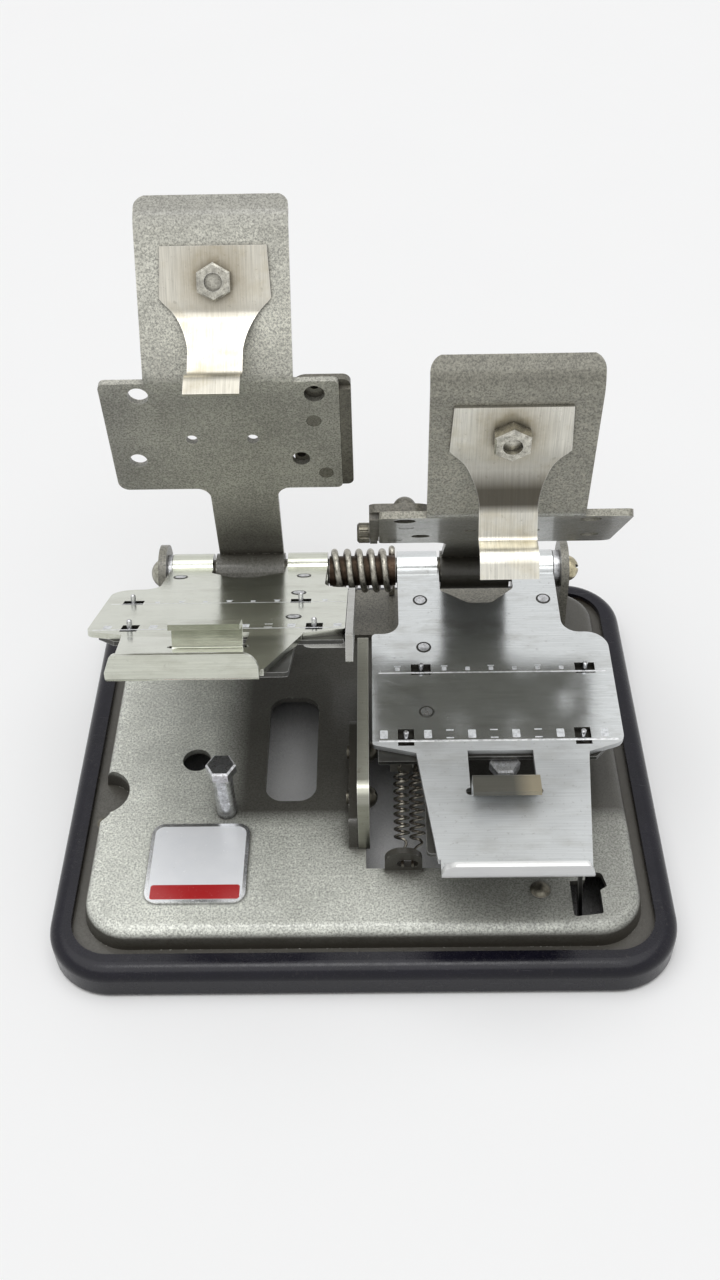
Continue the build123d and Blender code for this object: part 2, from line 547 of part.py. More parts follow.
def pin_plate(side):
    """Backing plate riveted under a stage; the film pins stand in it."""
    inner = RIGHT_WING_IN + 0.95 if side > 0 else LEFT_WING_IN + 0.15
    bottom, top = PIN_PLATE_UNDER, STAGE_TOP - PLATE_T - 0.02
    rear = plan([(8.2, -8.2), (8.2, -22.2), (inner, -22.2), (inner, -49.8), (UNDER_IN, -49.8),
                 (UNDER_IN, -APRON_BEND), (UNDER_OUT, -APRON_BEND), (UNDER_OUT, -49.2),
                 (40.0, -49.2), (43.2, -45.6), (43.2, -22.2), (36.0, -22.2), (36.0, -8.2)],
                [(1, 1.5), (11, 1.5)])
    front = plan([(UNDER_IN, LAP - APRON_BEND), (UNDER_IN, -UNDER_FRONT),
                  (UNDER_OUT, -UNDER_FRONT), (UNDER_OUT, LAP - APRON_BEND)], [(1, 0.8), (2, 0.8)])
    plate = prism(rear, bottom, top) + raised(prism(front, bottom, top))
    plate -= prism(tail_notch(0.5), -1, 3)
    plate -= slot_cut(0.6, -0.6)
    for row in (SUPER_ROW, REGULAR_ROW):
        for u, dist in row_pins(row):
            plate -= rod_z(PIN_D / 2 + 0.02, -3, 3, u, -dist)
    for u, dist in STAGE_RIVETS:
        plate -= rod_z(1.0 + FIT, -3, 3, u, -dist)
    if side < 0:
        for dist in KNIFE_RIVETS:
            plate -= rod_z(1.0 + FIT, -3, 3, KNIFE_RIVET_U, -dist)
    else:
        plate += catch_leg()
    return plate


def film_pins():
    pins = []
    for row in (SUPER_ROW, REGULAR_ROW):
        for u, dist in row_pins(row):
            pin = rod_z(PIN_D / 2, PIN_PLATE_UNDER, STAGE_TOP + PIN_H, u, -dist)
            pins.append(chamfer(pin.edges().group_by(Axis.Z)[-1], 0.2))
    return group(pins)


def stage_rivets():
    """Rivets of a stage, flush on top, with a low head under the pin plate."""
    bottom = PIN_PLATE_UNDER - 0.02
    rivets = []
    for u, dist in STAGE_RIVETS:
        stem = rod_z(1.3, STAGE_TOP - PLATE_T + 0.02, STAGE_TOP + 0.08, u, -dist)
        rivets.append(stem + rod_z(1.0, bottom, STAGE_TOP, u, -dist)
                      + rod_z(1.5, bottom - 0.6, bottom, u, -dist))
    return group(rivets)


def left_knife():
    """Moving shear blade: an angle under the left stage, with its edge level with the film."""
    edge = side_prism([(-WING_REAR - 0.6, STAGE_TOP), (-50.6, STAGE_TOP),
                       (-50.6, STAGE_TOP - KNIFE_DEPTH), (-WING_REAR - 0.6, STAGE_TOP - KNIFE_DEPTH)],
                      KNIFE_IN, KNIFE_IN + KNIFE_T, [(2, 0.6), (3, 1.5)])
    foot = prism(plan([(KNIFE_IN + 0.5, -23.0), (9.4, -23.0), (9.4, -48.4),
                       (KNIFE_IN + 0.5, -48.4)], [(1, 2.0), (2, 2.0)]),
                 KNIFE_SEAT - 1.0, KNIFE_SEAT)
    for dist in KNIFE_RIVETS:
        foot -= rod_z(1.0 + FIT, -4, 3, KNIFE_RIVET_U, -dist)
    return edge + foot


def left_knife_rivets():
    rivets = []
    for dist in KNIFE_RIVETS:
        head = rod_z(1.7, KNIFE_SEAT - 1.8, KNIFE_SEAT - 1.02, KNIFE_RIVET_U, -dist)
        rivets.append(head + rod_z(1.0, KNIFE_SEAT - 1.1, STAGE_TOP - PLATE_T - 0.04,
                                   KNIFE_RIVET_U, -dist))
    return group(rivets)


def right_spring_anchor():
    """Angle that hangs under the right stage, with an eye for each extension spring."""
    top = SHAFT_Z + PIN_PLATE_UNDER - 0.02
    x, foot = (SPRING_X[0] + SPRING_X[1]) / 2, anchor_eye_z(1) - 1.5
    plate = Pos(x, ANCHOR_Y, (top + foot) / 2) * Box(6.4, 0.8, top - foot)
    plate += Pos(x, ANCHOR_Y + 2.0, top - 0.4) * Box(6.4, 4.8, 0.8)
    for index in (0, 1):
        eye = Pos(SPRING_X[index], ANCHOR_Y, anchor_eye_z(index)) * Rot(90, 0, 0) * Cylinder(0.75, 3)
        plate -= eye
    return plate


# ---------------------------------------------------------------- gates
def gate(side):
    """Pressed gate: knuckle, neck, wing, handle bent up from the wing, and finger lip."""
    wing = plan([(GATE_IN, -GATE_REAR), (GATE_OUT, -GATE_REAR), (GATE_OUT - 0.2, -GATE_FRONT),
                 (GATE_IN, -GATE_FRONT)], [(0, 1.0), (1, 2.0), (2, 1.2), (3, 1.0)])
    neck = plan([(NECK_IN, 0), (NECK_OUT, 0), (NECK_OUT, -GATE_REAR - 2),
                 (NECK_IN, -GATE_REAR - 2)])
    flat = wing + neck
    for u in (NECK_IN, NECK_OUT):
        flat = fillet(flat.vertices().sort_by_distance((u, -GATE_REAR))[0], 2.4)
    body = prism(flat, GATE_N, GATE_N + SHEET) + handle()
    body += rod_x(KNUCKLE_R, CURL_IN, CURL_OUT)
    body -= rod_x(SHAFT_D / 2 + FIT, 0, 50)
    for u, dist, radius in GATE_HOLES:
        body -= rod_z(radius, 0, 10, u, -dist)
    for u, dist in EDGE_RIVETS:
        body -= rod_z(1.3 + FIT, 0, 10, u, -dist)
    return body - on_handle(Cylinder(SCREW_D / 2 + FIT, 8), nut_at(side))


def handle():
    """Handle and lip of a gate, rounded at the lip's corners."""
    middle = GATE_N + SHEET / 2
    tip = handle_point(HANDLE_L, -SHEET / 2)
    end = (tip[0] + LIP_L * math.cos(math.radians(LIP_ANGLE)),
           tip[1] + LIP_L * math.sin(math.radians(LIP_ANGLE)))
    strip = bent_sheet([(GATE_FRONT - 3, middle), (BEND_AT, middle), tip, end],
                       SHEET, (1.6, 4.2), HANDLE_IN, HANDLE_OUT)
    top = end[1] + SHEET / 2 * math.cos(math.radians(LIP_ANGLE))
    outline = plan([(HANDLE_IN, 0), (HANDLE_OUT, 0), (HANDLE_OUT, top), (HANDLE_IN, top)],
                   [(2, LIP_R), (3, LIP_R)])
    return strip & Rot(90, 0, 0) * extrude(outline, 90)


def leaf(side):
    """Latch leaf: flat on the handle, then a narrow leg with a rounded hook at its end."""
    seat = 0.05 + LEAF_T / 2
    flat = [handle_point(nut_at(side, LEAF_TOP), seat), handle_point(nut_at(side, LEAF_BEND), seat)]
    widest, leg = LEAF_SHOULDER_W / 2, LEAF_LEG_W / 2
    strip = bent_sheet(flat + list(LEAF_HOOK), LEAF_T, (3.0, 1.0, 2.4),
                       LEAF_U - widest, LEAF_U + widest)
    # waste on one side, in the plane of the handle: the top's flare, the waist and the leg
    rise = LEAF_TOP - LEAF_SHOULDER
    waste = make_face([Polyline((widest, 0), (LEAF_TOP_W / 2, rise), (LEAF_TOP_W / 2, rise + 5),
                                (widest + 1, rise + 5), (widest + 1, -40), (leg, -40),
                                (leg, -WAIST_L)),
                       ThreePointArc((leg, -WAIST_L), (leg + 1.3, -WAIST_L * 0.52),
                                     (widest - 0.6, -0.7)),
                       Line((widest - 0.6, -0.7), (widest, 0))])
    for sign in (1, -1):
        cutter = extrude(waste, 40, both=True)
        if sign < 0:
            cutter = mirror(cutter, about=Plane.YZ)
        strip -= on_handle(cutter, nut_at(side, LEAF_SHOULDER))
    return strip - on_handle(Cylinder(SCREW_D / 2 + FIT, 8), nut_at(side))


def leaf_nut(side):
    nut = Rot(0, 0, 30) * hexagon(NUT_AF, 0, NUT_H) - Cylinder(SCREW_D / 2 + 0.02, 10)
    return on_handle(nut, nut_at(side), LEAF_T + 0.08)


def leaf_screw(side):
    """Screw through handle, leaf and nut; its head is on the outside of the handle."""
    head = Rot(180, 0, 0) * dome(2.9, 1.7)
    head -= Pos(0, 0, -1.7) * Box(0.7, 8, 1.4)
    stem = rod_z(SCREW_D / 2, 0, SHEET + LEAF_T + NUT_H - 0.9)
    return on_handle(head + stem, nut_at(side), -SHEET - 0.03)


def edge_plate(side):
    """Stiffening plate on the outside of a gate, along the cut, with a boss over each pin."""
    inner = RIGHT_EDGE_IN if side > 0 else LEFT_EDGE_IN
    seat = GATE_N + SHEET + 0.02
    plate = prism(plan([(inner, -GATE_REAR + 0.4), (EDGE_OUT, -GATE_REAR + 0.4),
                        (EDGE_OUT, -GATE_FRONT + 0.6), (inner, -GATE_FRONT + 0.6)],
                       [(0, 1.2), (1, 1.5), (2, 3.0), (3, 1.5)]), seat, seat + EDGE_T)
    flange_w = GATE_IN - 0.06 - inner
    plate += Pos(inner + flange_w / 2, -(GATE_REAR + GATE_FRONT) / 2, seat - 0.55) * \
        Box(flange_w, GATE_FRONT - GATE_REAR - 4, 1.1)
    if side > 0:
        plate += rod_x(2.0, inner, inner + 1.3, -TRIM_SCREW_DIST, TRIM_SCREW_N)
        plate -= rod_x(0.9 + FIT, inner - 1, inner + 3, -TRIM_SCREW_DIST, TRIM_SCREW_N)
    for (u, dist, _), row in zip(GATE_HOLES[::2], (SUPER_ROW, REGULAR_ROW)):
        plate += Pos(u, -dist, seat + EDGE_T) * dome(BOSS_R, BOSS_H)
        plate -= rod_z(0.8, 0, seat + 0.9, u, -row[0])
    for u, dist in EDGE_RIVETS:
        plate -= rod_z(1.3 + FIT, 0, 10, u, -dist)
    return plate


def edge_rivets():
    seat = GATE_N + SHEET + 0.04 + EDGE_T
    rivets = []
    for u, dist in EDGE_RIVETS:
        rivets.append(Pos(u, -dist, seat) * dome(2.3, 1.25)
                      + rod_z(1.3, GATE_N + 0.05, seat, u, -dist))
    return group(rivets)


def trim_screw():
    """Knurled screw in the inner end of the right gate's edge plate."""
    shift = RIGHT_EDGE_IN - 0.05
    head = rod_x(TRIM_SCREW_D / 2, shift - 2.3, shift, -TRIM_SCREW_DIST, TRIM_SCREW_N)
    head = chamfer(head.edges().group_by(Axis.X)[0], 0.35)
    for i in range(10):
        turn = Pos(0, -TRIM_SCREW_DIST, TRIM_SCREW_N) * Rot(36 * i, 0, 0)
        head -= turn * Pos(0, TRIM_SCREW_D / 2 + 0.1, 0) * rod_x(0.3, shift - 1.9, shift - 0.2)
    return head + rod_x(0.9, shift - 0.5, shift + 1.5, -TRIM_SCREW_DIST, TRIM_SCREW_N)


# ---------------------------------------------------------------- assembly
def write_base():
    put("base_pan", base_pan())
    put("rubber_rim", rubber_rim())
    put("badge_plate", badge_plate())
    put("base_screw", base_screw())
    put("side_screw", side_screw())
    put("rear_bracket", rear_bracket())
    put("bracket_rivets", bracket_rivets())
    put("hinge_shaft", hinge_shaft())
    put("shaft_end_screw", shaft_end_screw())
    put("hinge_washers", hinge_washers())
    put("spacer_sleeve", spacer_sleeve())
    put("torsion_spring", torsion_spring())
    put("fixed_blade", fixed_blade())
    put("fixed_blade_screws", fixed_blade_screws())
    put("stop_bolt_nuts", stop_bolt_nuts())
    put("inner_extension_spring", extension_spring(0))
    put("outer_extension_spring", extension_spring(1))


def write_side(name, side, stage_tilt, gate_tilt):
    put(f"{name}_stop_bolt", stop_bolt(side))
    put(f"{name}_stage_plate", place(stage_plate(side), side, stage_tilt))
    put(f"{name}_pin_plate", place(pin_plate(side), side, stage_tilt))
    put(f"{name}_film_pins", place(film_pins(), side, stage_tilt))
    put(f"{name}_stage_rivets", place(stage_rivets(), side, stage_tilt))
    put(f"{name}_gate", place(gate(side), side, gate_tilt))
    put(f"{name}_leaf", place(leaf(side), side, gate_tilt))
    put(f"{name}_leaf_nut", place(leaf_nut(side), side, gate_tilt))
    put(f"{name}_leaf_screw", place(leaf_screw(side), side, gate_tilt))
    put(f"{name}_edge_plate", place(edge_plate(side), side, gate_tilt))
    put(f"{name}_edge_rivets", place(edge_rivets(), side, gate_tilt))


write_base()
write_side("left", -1, LEFT_STAGE_TILT, LEFT_GATE_TILT)
write_side("right", 1, 0.0, RIGHT_GATE_TILT)
put("left_knife", place(left_knife(), -1, LEFT_STAGE_TILT))
put("left_knife_rivets", place(left_knife_rivets(), -1, LEFT_STAGE_TILT))
put("right_spring_anchor", right_spring_anchor())
put("right_trim_screw", place(trim_screw(), 1, RIGHT_GATE_TILT))
print_gap("torsion_spring", COIL_R, COIL_PITCH, COIL_TURNS, COIL_WIRE)
print_gap("extension springs", SPRING_R, SPRING_PITCH, SPRING_TURNS, SPRING_WIRE)
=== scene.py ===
import math

import bmesh
import bpy
from mathutils import Matrix, Vector


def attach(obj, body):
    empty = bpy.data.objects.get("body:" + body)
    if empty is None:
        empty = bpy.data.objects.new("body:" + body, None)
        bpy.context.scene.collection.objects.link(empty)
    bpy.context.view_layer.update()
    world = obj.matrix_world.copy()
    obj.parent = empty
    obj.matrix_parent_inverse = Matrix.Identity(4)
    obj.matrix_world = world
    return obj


# Film splicer: camera, light, procedural finishes and the marks on its two film stages.
# Finishes work in millimetres, in the frame of the piece they cover: "row" is the frame
# of the whole part, and the others are the plates laid flat, with X the distance from the cut,
# Y minus the distance from the shaft and Z the height above the shaft's axis.

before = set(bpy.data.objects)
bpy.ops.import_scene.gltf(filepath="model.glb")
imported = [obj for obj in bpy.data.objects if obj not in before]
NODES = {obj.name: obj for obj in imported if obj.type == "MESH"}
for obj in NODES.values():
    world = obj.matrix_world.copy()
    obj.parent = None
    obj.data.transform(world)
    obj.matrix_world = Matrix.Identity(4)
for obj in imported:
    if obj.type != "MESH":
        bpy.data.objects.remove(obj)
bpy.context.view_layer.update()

MM = 0.001
CAMERA_AT = (3.40, -160.23, 195.73)    # mm; fitted to the photo, like the angles and the lens
PITCH, YAW, ROLL = 44.78, -1.18, -1.53
LENS, SENSOR_HEIGHT = 24.486, 24.0
KEY_LAMP = (80, -30, 1.85, 84)         # degrees up and round, strength, degrees wide
SPARK_LAMP = (84, -20, 0.45, 20)       # a smaller lamp for crisp highlights
BACKDROP, SOFT_LIGHT = 0.905, 0.26     # what mirrors and the camera see, and what lights
FLOOR_R = 3.0                          # m
FLOOR_SHADOW = (22.0, 0.42, 0.12)      # reach of the contact shadow, where it starts and is full

X, Y, Z = 0, 1, 2
MID_X, SHAFT_Y, SHAFT_Z = 0.3, 33.1, 23.2
TILT = {"right_stage": 0.0, "left_stage": 28.0, "right_gate": 49.4, "left_gate": 82.3}
BODY = {"right_stage": "right_stage", "left_stage": "left_stage"}

# The marks on each stage. A row is its line's distance from the shaft, the first pin's from the
# cut, the pitch and the steps that are marked. A mark is how far behind the line it is, its width,
# depth and cut corner, and how far its sides slope in.
STAGE_TOP = 1.8
MARK_SEAT, MARK_RISE = STAGE_TOP - 0.005, 0.02
REAR_ROW = (29.9, 10.6, 4.234, (-1, 1, 2, 3, 4, 5, 6))
FRONT_ROW = (46.1, 7.55, 3.81, (-1, 1, 2, 3, 4, 5, 6, 7, 9))
REAR_SQUARE, REAR_DASH = (0.95, 0.85, 0.9, 0.12, 0.03), (1.62, 1.25, 0.24, 0.06, 0.02)
FRONT_BLOCK = (1.5, 1.35, 1.9, 0.12, 0.03)
FRONT_BARS = ((0.62, 1.35, 0.26, 0.06, 0.02), (2.38, 1.35, 0.26, 0.06, 0.02))
REAR_LINE_W, FRONT_LINE_W, LINE_ENDS, LINE_RISE = 0.36, 0.50, (2.9, 44.0), 0.03
STAGE_RIVETS = ((11.0, 10.7), (34.5, 10.7), (11.3, 23.4), (11.3, 39.4))
RIM_PROFILE = ((0.92, -0.01), (0.98, 0.07), (1.16, 0.11), (1.34, 0.07), (1.40, -0.01))
RIM_STEPS = 40

# Where the finishes change. A pair is where a change starts and where it is complete.
LIP_FACE = 74.9                        # distance of the right finger lip from the shaft
TONGUE_TOP, TONGUE_FROM, TONGUE_TO = 4.8, 52.5, 65.5    # height and reach of the right tongue
TONGUE_REFLECTION_SPLIT = (24.6, 27.6)            # from the dark to the golden painted reflection, away from the cut
LEAF_U, NUT_HEIGHT = 23.55, {"left_gate": 11.4, "right_gate": 12.0}
NUT_DARKENING = (7.5, 3.0)                 # distance from the nut
HANDLE_SLOPE = 1.72                    # length along the handle for each mm of height
LEAF_TIP = (1.3, 2.6)                  # the right leaf's painted dark band stops below these heights
WALL, RAIL = (9.3, 8.4), (10.3, 10.7)  # heights of the pan's wall, darkened by dirt and painted shade, and of its dark rail
FLANGE_TOP, FRONT_WALL_Y = 5.8, -42.6
DECK_SHADE_X, DECK_SHADE_Y = (-29.0, -21.0), (-20.0, -16.0)    # painted shade: the deck is dark right of and behind these
PAN_SHADOW = (24.0, 0.86, 0.34)        # painted shade under other pieces too: reach, start and full

# The badge's field and the band on it: middle, half size and corner radius, seen from above.
BADGE_MID, BADGE_HALF, BADGE_R = (-28.3, -27.5), (8.0, 7.6), 1.6
BAND_MID, BAND_HALF, BAND_R = (-28.3, -33.6), (7.6, 1.45), 0.5


# ---------------------------------------------------------------- camera, floor and light
def make_camera():
    pitch, yaw, roll = (math.radians(a) for a in (PITCH, YAW, ROLL))
    forward = Vector((math.sin(yaw) * math.cos(pitch), math.cos(yaw) * math.cos(pitch),
                      -math.sin(pitch)))
    right = Vector((math.cos(yaw), -math.sin(yaw), 0))
    up = right.cross(forward)
    right, up = (right * math.cos(roll) + up * math.sin(roll),
                 up * math.cos(roll) - right * math.sin(roll))
    data = bpy.data.cameras.new("camera")
    data.sensor_fit = "VERTICAL"
    data.sensor_height = SENSOR_HEIGHT
    data.lens = LENS
    data.clip_start = 0.01
    camera = bpy.data.objects.new("camera", data)
    turn = Matrix((right, up, -forward)).transposed().to_4x4()
    camera.matrix_world = Matrix.Translation(Vector(CAMERA_AT) * MM) @ turn
    bpy.context.scene.collection.objects.link(camera)
    bpy.context.scene.camera = camera


def make_lamp(name, elevation, azimuth, strength, angle):
    """A sun whose light comes from that height and side; azimuth 0 is the front."""
    lamp = bpy.data.lights.new(name, "SUN")
    lamp.energy = strength
    lamp.angle = math.radians(angle)
    holder = bpy.data.objects.new(name, lamp)
    high, round_ = math.radians(elevation), math.radians(azimuth)
    source = Vector((math.cos(high) * math.sin(round_), -math.cos(high) * math.cos(round_),
                     math.sin(high)))
    holder.rotation_euler = source.to_track_quat("Z", "Y").to_euler()
    bpy.context.scene.collection.objects.link(holder)


def seen_directly(tree):
    """1 for rays from the camera and for mirror and glass rays, 0 for soft light."""
    path = tree.nodes.new("ShaderNodeLightPath")
    seen = path.outputs["Is Camera Ray"]
    for name in ("Is Glossy Ray", "Is Transmission Ray"):
        either = tree.nodes.new("ShaderNodeMath")
        either.operation = "MAXIMUM"
        tree.links.new(seen, either.inputs[0])
        tree.links.new(path.outputs[name], either.inputs[1])
        seen = either.outputs[0]
    return seen


def make_world():
    """Even soft light, which mirrors and the camera see as the pale background."""
    world = bpy.data.worlds.new("studio")
    world.use_nodes = True
    tree = world.node_tree
    tree.nodes.clear()
    soft, plain = (tree.nodes.new("ShaderNodeBackground") for _ in range(2))
    soft.inputs["Color"].default_value = (0.98, 0.99, 1.0, 1)
    soft.inputs["Strength"].default_value = SOFT_LIGHT
    plain.inputs["Color"].default_value = (BACKDROP, BACKDROP, BACKDROP, 1)
    either = tree.nodes.new("ShaderNodeMixShader")
    tree.links.new(seen_directly(tree), either.inputs[0])
    tree.links.new(soft.outputs[0], either.inputs[1])
    tree.links.new(plain.outputs[0], either.inputs[2])
    output = tree.nodes.new("ShaderNodeOutputWorld")
    tree.links.new(either.outputs[0], output.inputs["Surface"])
    bpy.context.scene.world = world


def make_floor():
    """White floor, dark under the object; the soft light it throws back is held down."""
    mesh = bpy.data.meshes.new("floor")
    sides = 64
    ring = [(FLOOR_R * math.cos(a), FLOOR_R * math.sin(a), 0)
            for a in (math.tau * i / sides for i in range(sides))]
    mesh.from_pydata(ring, [], [range(sides)])
    floor = bpy.data.objects.new("floor", mesh)
    bpy.context.scene.collection.objects.link(floor)
    finish = Finish("floor_white")
    grain = finish.noise(finish.place("row"), 0.02, 3)
    white = finish.mix(grain, (0.925, 0.925, 0.925), (0.940, 0.940, 0.940))
    white = finish.mix(finish.crevices(*FLOOR_SHADOW), white, (0.030, 0.028, 0.024))
    finish.shade(color=finish.mix(seen_directly(finish.tree), (0.30, 0.30, 0.31), white),
                 roughness=0.9, specular=0.0)
    mesh.materials.append(finish.material)


# ---------------------------------------------------------------- node helpers
class Finish:
    """A procedural finish: short names for the nodes that the finishes below are made of."""

    def __init__(self, name):
        self.material = bpy.data.materials.new(name)
        self.material.use_nodes = True
        self.tree = self.material.node_tree
        self.tree.nodes.clear()

    def node(self, kind, inputs=(), **settings):
        node = self.tree.nodes.new("ShaderNode" + kind)
        for key, value in settings.items():
            setattr(node, key, value)
        for key, value in dict(inputs).items():
            self.put(node.inputs[key], value)
        return node

    def put(self, socket, value):
        if isinstance(value, bpy.types.NodeSocket):
            self.tree.links.new(value, socket)
        elif socket.type == "RGBA" and len(value) == 3:
            socket.default_value = (*value, 1.0)
        else:
            socket.default_value = value

    def place(self, where):
        """Position in millimetres, in the row frame or that of a plate laid flat."""
        position = self.node("TexCoord").outputs["Object"]
        in_mm = 1 / MM
        if where == "row":
            return self.node("VectorMath", {0: position, 3: in_mm}, operation="SCALE").outputs[0]
        shaft = (MID_X * MM, SHAFT_Y * MM, SHAFT_Z * MM)
        moved = self.node("VectorMath", {0: position, 1: shaft}, operation="SUBTRACT").outputs[0]
        side = -in_mm if where.startswith("left") else in_mm
        return self.node("Mapping", {"Vector": moved, "Scale": (side, in_mm, in_mm),
                                     "Rotation": (math.radians(TILT[where]), 0, 0)}).outputs[0]

    def stretch(self, vector, scale):
        return self.node("VectorMath", {0: vector, 1: scale}, operation="MULTIPLY").outputs[0]

    def axis(self, vector, index):
        return self.node("SeparateXYZ", {0: vector}).outputs[index]

    def noise(self, vector, scale, detail=2.0, rough=0.5):
        return self.node("TexNoise", {"Vector": vector, "Scale": scale, "Detail": detail,
                                      "Roughness": rough}).outputs["Fac"]

    def math(self, operation, a, b=0.0):
        return self.node("Math", {0: a, 1: b}, operation=operation).outputs[0]

    def both(self, a, b):
        return self.math("MULTIPLY", a, b)

    def past(self, vector, index, start, end, share=1.0):
        """0 before start along that axis, growing to share at end and beyond it."""
        return self.span(self.axis(vector, index), start, end, 0.0, share)

    def span(self, value, low, high, to_low=0.0, to_high=1.0):
        """value from low..high to to_low..to_high, held at the ends."""
        return self.node("MapRange", {"Value": value, "From Min": low, "From Max": high,
                                      "To Min": to_low, "To Max": to_high}).outputs[0]

    def mix(self, factor, a, b):
        node = self.node("Mix", data_type="RGBA")
        for index, value in ((0, factor), (6, a), (7, b)):
            self.put(node.inputs[index], value)
        return node.outputs[2]

    def edges(self, radius):
        """1 along convex and concave edges of the piece, 0 on its faces."""
        rounded = self.node("Bevel", {"Radius": radius * MM}, samples=4).outputs[0]
        normal = self.node("NewGeometry").outputs["Normal"]
        same = self.node("VectorMath", {0: rounded, 1: normal}, operation="DOT_PRODUCT").outputs[1]
        return self.span(same, 0.99, 0.80)

    def crevices(self, distance, open_=0.85, shut=0.25):
        """1 deep in corners and under other pieces, 0 in the open."""
        sky = self.node("AmbientOcclusion", {"Distance": distance * MM}, samples=8).outputs["AO"]
        return self.span(sky, open_, shut)

    def scratches(self, vector, angle, scale, share):
        """Thin lines that run about along one direction; 1 on a line."""
        turned = self.node("Mapping", {"Vector": vector,
                                       "Rotation": (0, 0, math.radians(angle))}).outputs[0]
        wave = self.noise(self.stretch(turned, (scale * 0.03, scale, scale)), 1.0, 3, 0.6)
        return self.span(wave, 1 - share, 1 - share + 0.03)

    def bump(self, height, depth, strength):
        """Relief of depth millimetres."""
        return self.node("Bump", {"Height": height, "Distance": depth * MM,
                                  "Strength": strength}).outputs[0]

    def shade(self, color, roughness, metallic=0.0, normal=None, **plain):
        """The shader and its output; plain values are set on the shader's own sockets."""
        names = {"specular": "Specular IOR Level", "coat": "Coat Weight",
                 "coat_roughness": "Coat Roughness"}
        shader = self.node("BsdfPrincipled", {"Base Color": color, "Roughness": roughness,
                                              "Metallic": metallic})
        for key, value in plain.items():
            self.put(shader.inputs[names[key]], value)
        if normal is not None:
            self.put(shader.inputs["Normal"], normal)
        output = self.node("OutputMaterial")
        self.tree.links.new(shader.outputs[0], output.inputs["Surface"])
        return self.material


# ---------------------------------------------------------------- finishes
def dimmed(tone, share):
    return tuple(share * c for c in tone)


def tinted(tone, tint):
    return tuple(c * k for c, k in zip(tone, tint))


def hammer_paint(name, where, tone, fades=(), wear=0.50, grime_and_shade_reach=3.0, pan=False):
    """Grey speckled enamel with a little metal flake, worn to dull metal along its edges.

    Each fade (axis, start, end, share) darkens the paint by that share along one axis; the gates'
    fades and the deck's fades along X are painted shade.
    """
    f = Finish(name)
    at = f.place(where)
    cloud = f.noise(at, 0.10, 4, 0.65)
    base = f.mix(f.span(cloud, 0.32, 0.68), dimmed(tone, 0.82), dimmed(tone, 1.16))
    mottle = f.span(f.noise(at, 3.0, 3, 0.80), 0.44, 0.60)
    base = f.mix(f.both(mottle, 0.80), base, dimmed(tone, 0.30))
    flakes = f.span(f.noise(at, 1.6, 3, 0.7), 0.54, 0.66)
    base = f.mix(f.both(flakes, 0.50), base, dimmed(tone, 1.40))
    for fade in fades:
        base = f.mix(f.past(at, *fade), base, (0.026, 0.023, 0.016))
    if pan:
        base = pan_dirt_and_shade(f, at, base)
    # Dark in corners and under other pieces, broken up by noise: dirt and painted shade.
    grime = f.both(f.crevices(grime_and_shade_reach), f.span(f.noise(at, 0.5, 3, 0.7), 0.3, 0.7, 0.6, 1.0))
    base = f.mix(f.both(grime, 0.90), base, (0.034, 0.029, 0.020))
    worn = f.both(f.edges(0.35), f.span(f.noise(at, 1.2, 3, 0.7), 1 - wear, 1.12 - wear))
    base = f.mix(f.both(worn, 0.6), base, dimmed(tone, 1.1))
    rough = f.span(f.noise(at, 0.7, 3, 0.6), 0.2, 0.8, 0.34, 0.52)
    height = f.math("ADD", f.noise(at, 1.3, 2, 0.5), f.both(mottle, -0.5))
    return f.shade(color=base, roughness=rough, metallic=f.span(worn, 0.0, 1.0, 0.14, 0.70),
                   normal=f.bump(height, 0.07, 0.5), coat=0.35, coat_roughness=0.14)


def pan_dirt_and_shade(f, at, base):
    """Dirt and painted shade on wall and flange, rubbed clean along the front; painted shade on
    the deck under the stages.
    """
    rubbed = f.both(f.past(at, Z, FLANGE_TOP + 0.1, FLANGE_TOP - 0.15),
                    f.past(at, Y, FRONT_WALL_Y, FRONT_WALL_Y - 0.4))
    # wall and flange below WALL: dirt and painted shade
    wall = f.both(f.past(at, Z, *WALL, 0.90), f.span(rubbed, 0.0, 1.0, 1.0, 0.25))
    base = f.mix(wall, base, (0.032, 0.026, 0.018))
    # painted shade where other pieces hide the sky, and on the deck under the stages
    shadow = f.span(f.crevices(*PAN_SHADOW), 0.0, 1.0, 0.0, 0.92)
    deck_shade = f.both(f.past(at, X, *DECK_SHADE_X, 0.92), f.past(at, Y, *DECK_SHADE_Y))
    return f.mix(f.math("MAXIMUM", shadow, deck_shade), base, (0.036, 0.032, 0.024))


def rim_rubber():
    """Hard navy-black rubber with a dull gloss, dust, scuffs and brown grime at its seam."""
    f = Finish("rim_rubber")
    at = f.place("row")
    cloud = f.noise(at, 0.12, 4, 0.65)
    base = f.mix(cloud, (0.002, 0.002, 0.005), (0.009, 0.008, 0.016))
    dust = f.both(f.span(f.noise(at, 1.6, 3, 0.7), 0.56, 0.75),
                  f.span(f.noise(at, 0.15, 2), 0.40, 0.65))
    base = f.mix(f.both(dust, 0.22), base, (0.14, 0.13, 0.12))
    seam = f.both(f.crevices(1.4), f.span(f.noise(at, 0.9, 3, 0.7), 0.42, 0.60))
    base = f.mix(f.both(seam, 0.75), base, (0.13, 0.090, 0.045))
    scuffs = f.scratches(at, 4, 2.0, 0.34)
    base = f.mix(f.both(scuffs, 0.08), base, (0.20, 0.20, 0.23))
    rough = f.span(f.noise(at, 0.6, 3, 0.6), 0.25, 0.75, 0.18, 0.32)
    height = f.math("ADD", f.noise(at, 3.0, 3, 0.6), f.both(scuffs, -0.6))
    return f.shade(color=base, roughness=rough, normal=f.bump(height, 0.03, 0.4), specular=0.30)


